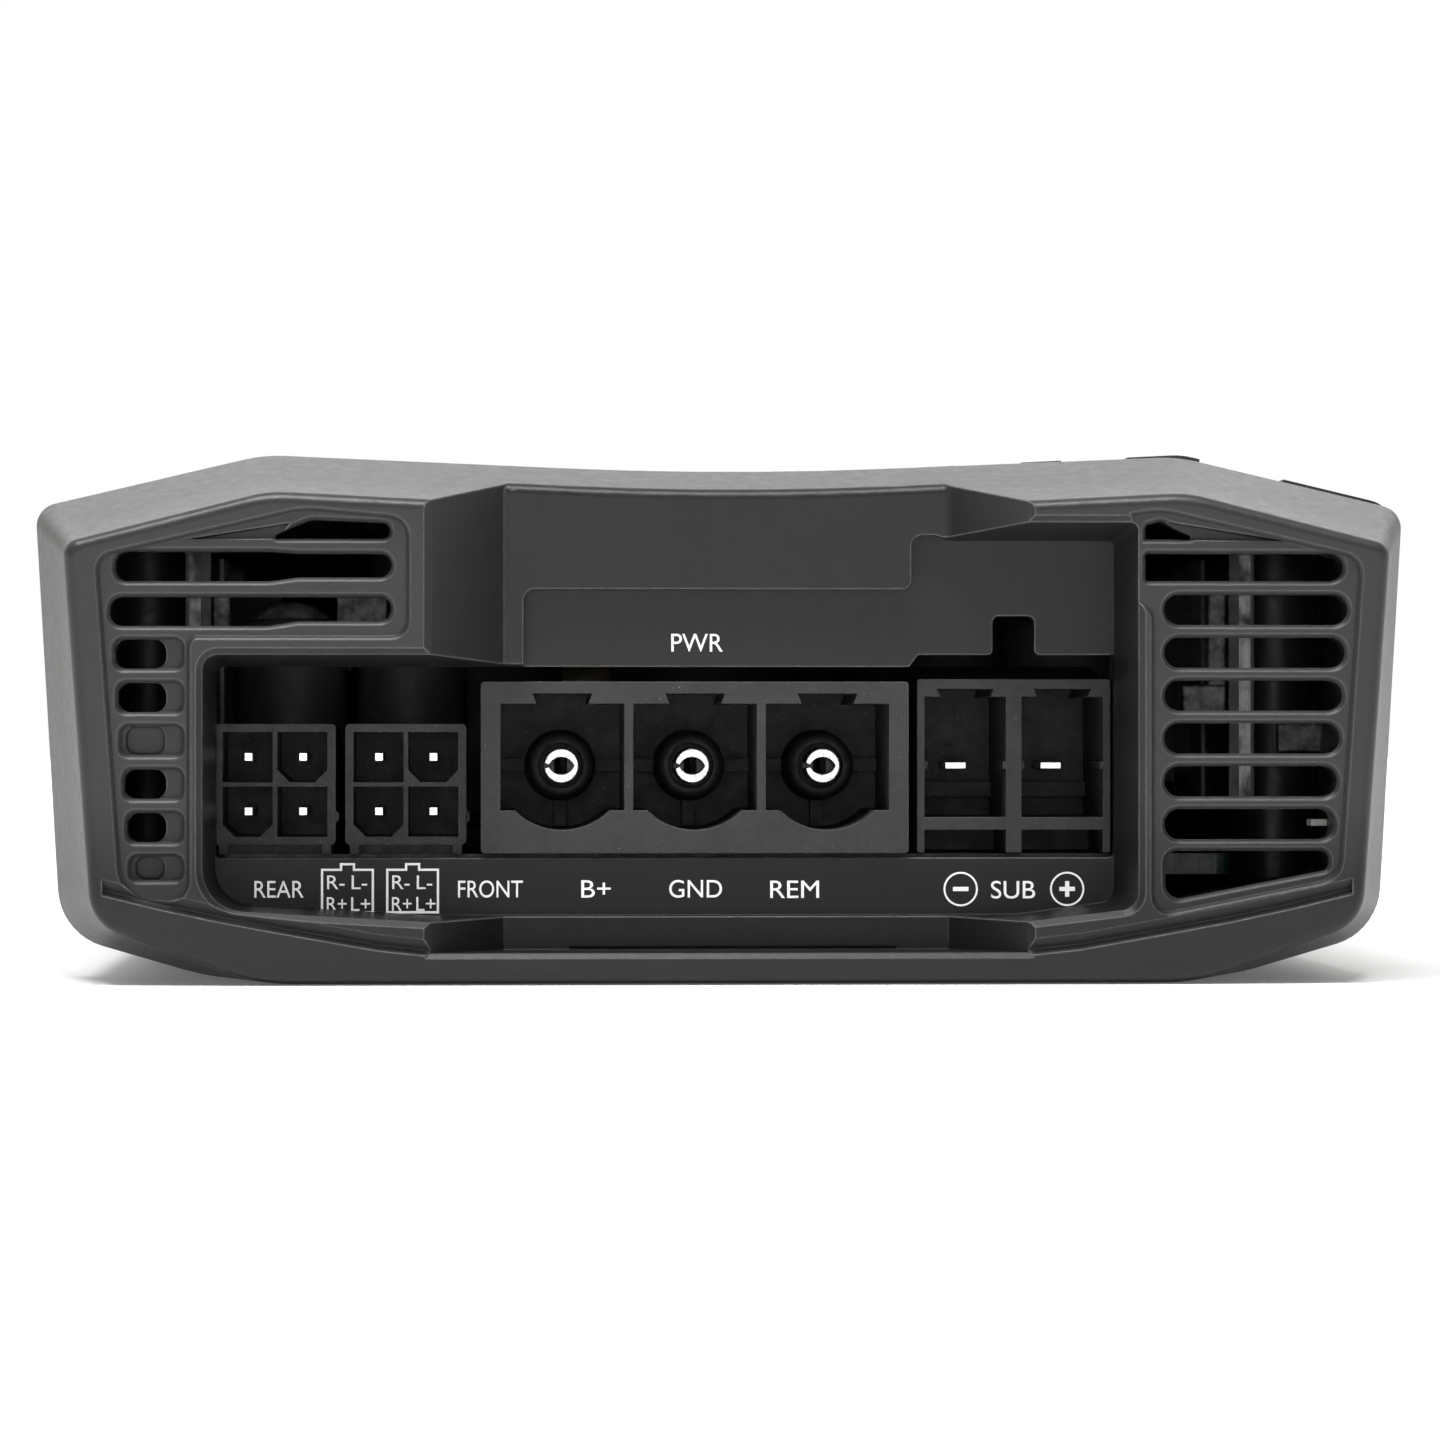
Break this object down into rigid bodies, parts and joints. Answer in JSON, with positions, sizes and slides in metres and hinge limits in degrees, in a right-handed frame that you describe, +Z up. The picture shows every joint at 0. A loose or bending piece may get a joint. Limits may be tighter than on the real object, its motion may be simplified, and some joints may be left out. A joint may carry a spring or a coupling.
{
  "type": "car amplifier",
  "caption": "Compact car amplifier: finned body between two flared louvred end caps, with recessed power, speaker and sub sockets at one end and inputs and trim controls at the other.",
  "frame": {"origin": "centre of the footprint, on the plane the amplifier rests on", "axes": "+Z up, -Y out of the connector end, +Y out of the control end, +X to the right when the connector end is seen from the front"},
  "size_m": [0.106, 0.2, 0.0406],
  "materials": {
    "cap_coating": "satin charcoal coating, fine grain",
    "body_coating": "black anodised extrusion with cut ends",
    "cover_coating": "matt black powder coat",
    "seal_rubber": "soft black rubber",
    "connector_plastic": "dry moulded black plastic",
    "tinned_contact": "bright tin plate",
    "board_laminate": "dark solder mask over laminate",
    "brass_standoff": "turned brass",
    "steel_screw": "zinc plated",
    "component_epoxy": "moulded black epoxy",
    "thermal_pad": "soft grey silicone",
    "clamp_steel": "zinc plated strip",
    "capacitor_sleeve": "shrunk black sleeve with a bare top",
    "ferrite": "dark ferrite",
    "winding_tape": "amber tape over copper",
    "copper_wire": "enamelled copper",
    "gilt_shell": "thin gilt plating",
    "pot_body": "moulded body",
    "switch_steel": "folded tin plate",
    "rotor_plastic": "moulded grey plastic",
    "slider_plastic": "moulded off-white plastic",
    "light_pipe": "clear moulded plastic"
  },
  "bodies": {
    "amplifier": {"board_screws": "steel_screw", "board_standoffs": "brass_standoff", "bottom_cover": "cover_coating", "bottom_cover_screws": "steel_screw", "choke_core": "ferrite", "choke_winding": "copper_wire", "clamp_screws": "steel_screw", "connector_end_cap": "cap_coating", "connector_end_gasket": "seal_rubber", "control_board": "board_laminate", "control_end_cap": "cap_coating", "control_end_gasket": "seal_rubber", "control_pot_bodies": "pot_body", "driver_chips": "component_epoxy", "end_cap_screws": "steel_screw", "filter_capacitors": "capacitor_sleeve", "front_speaker_header_housing": "connector_plastic", "front_speaker_pins": "tinned_contact", "heatsink_body": "body_coating", "input_jack_blocks": "connector_plastic", "input_jack_contacts": "gilt_shell", "input_jack_shells": "gilt_shell", "left_clamp_bar": "clamp_steel", "left_power_transistors": "component_epoxy", "left_thermal_pad": "thermal_pad", "main_board": "board_laminate", "output_capacitors": "capacitor_sleeve", "output_inductors": "ferrite", "power_header_housing": "connector_plastic", "power_pins": "tinned_contact", "rear_speaker_header_housing": "connector_plastic", "rear_speaker_pins": "tinned_contact", "right_clamp_bar": "clamp_steel", "right_power_transistors": "component_epoxy", "right_thermal_pad": "thermal_pad", "slide_switch_frames": "switch_steel", "standoff_screws": "steel_screw", "status_light_pipe": "light_pipe", "sub_blades": "tinned_contact", "sub_header_housing": "connector_plastic", "supply_capacitors": "capacitor_sleeve", "transformer_core": "ferrite", "transformer_winding": "winding_tape"},
    "front_gain_control": {"front_gain_rotor": "rotor_plastic"},
    "rear_gain_control": {"rear_gain_rotor": "rotor_plastic"},
    "sub_gain_control": {"sub_gain_rotor": "rotor_plastic"},
    "front_crossover_control": {"front_crossover_rotor": "rotor_plastic"},
    "rear_crossover_control": {"rear_crossover_rotor": "rotor_plastic"},
    "sub_crossover_control": {"sub_crossover_rotor": "rotor_plastic"},
    "front_filter_switch": {"front_filter_slider": "slider_plastic"},
    "rear_filter_switch": {"rear_filter_slider": "slider_plastic"},
    "sub_phase_switch": {"sub_phase_slider": "slider_plastic"}
  },
  "joints": [
    {"name": "front_gain_turn", "type": "hinge", "parent": "amplifier", "child": "front_gain_control", "pos_m": [0.013, 0.0925, 0.0286], "axis": [0, -1, 0], "range_deg": [-150, 150]},
    {"name": "rear_gain_turn", "type": "hinge", "parent": "amplifier", "child": "rear_gain_control", "pos_m": [0.0235, 0.0925, 0.0286], "axis": [0, -1, 0], "range_deg": [-150, 150]},
    {"name": "sub_gain_turn", "type": "hinge", "parent": "amplifier", "child": "sub_gain_control", "pos_m": [0.034, 0.0925, 0.0286], "axis": [0, -1, 0], "range_deg": [-150, 150]},
    {"name": "front_crossover_turn", "type": "hinge", "parent": "amplifier", "child": "front_crossover_control", "pos_m": [0.013, 0.0925, 0.0196], "axis": [0, -1, 0], "range_deg": [-150, 150]},
    {"name": "rear_crossover_turn", "type": "hinge", "parent": "amplifier", "child": "rear_crossover_control", "pos_m": [0.0235, 0.0925, 0.0196], "axis": [0, -1, 0], "range_deg": [-150, 150]},
    {"name": "sub_crossover_turn", "type": "hinge", "parent": "amplifier", "child": "sub_crossover_control", "pos_m": [0.034, 0.0925, 0.0196], "axis": [0, -1, 0], "range_deg": [-150, 150]},
    {"name": "front_filter_slide", "type": "slide", "parent": "amplifier", "child": "front_filter_switch", "axis": [1, 0, 0], "range_m": [-0.002, 0.002]},
    {"name": "rear_filter_slide", "type": "slide", "parent": "amplifier", "child": "rear_filter_switch", "axis": [1, 0, 0], "range_m": [-0.002, 0.002]},
    {"name": "sub_phase_slide", "type": "slide", "parent": "amplifier", "child": "sub_phase_switch", "axis": [1, 0, 0], "range_m": [-0.002, 0.002]}
  ]
}
